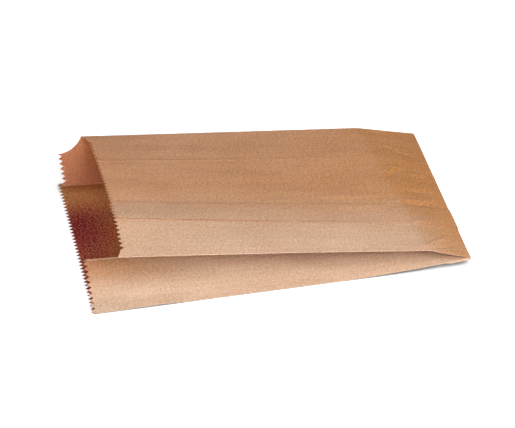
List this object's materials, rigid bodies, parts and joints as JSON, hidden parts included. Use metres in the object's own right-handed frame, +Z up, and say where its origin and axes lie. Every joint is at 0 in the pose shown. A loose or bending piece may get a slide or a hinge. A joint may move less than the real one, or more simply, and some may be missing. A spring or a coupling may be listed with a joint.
{
  "type": "gusseted paper lunch bag",
  "caption": "Flat-folding kraft paper bag with side gussets, a serrated stepped mouth and a folded, glued bottom, lying with its mouth a little open.",
  "frame": {"origin": "bottom centre of the bounding box, on the surface that the bag lies on", "axes": "+X along the bag from its open mouth to its folded bottom, +Y across it from the near gusset to the far gusset, +Z up from the back panel to the front panel"},
  "size_m": [0.2616, 0.1542, 0.0497],
  "materials": {
    "kraft_paper": "unbleached kraft, smooth side out, faint machine-direction streaks, matt"
  },
  "bodies": {
    "root": {"paper_bag": "kraft_paper"}
  },
  "joints": []
}
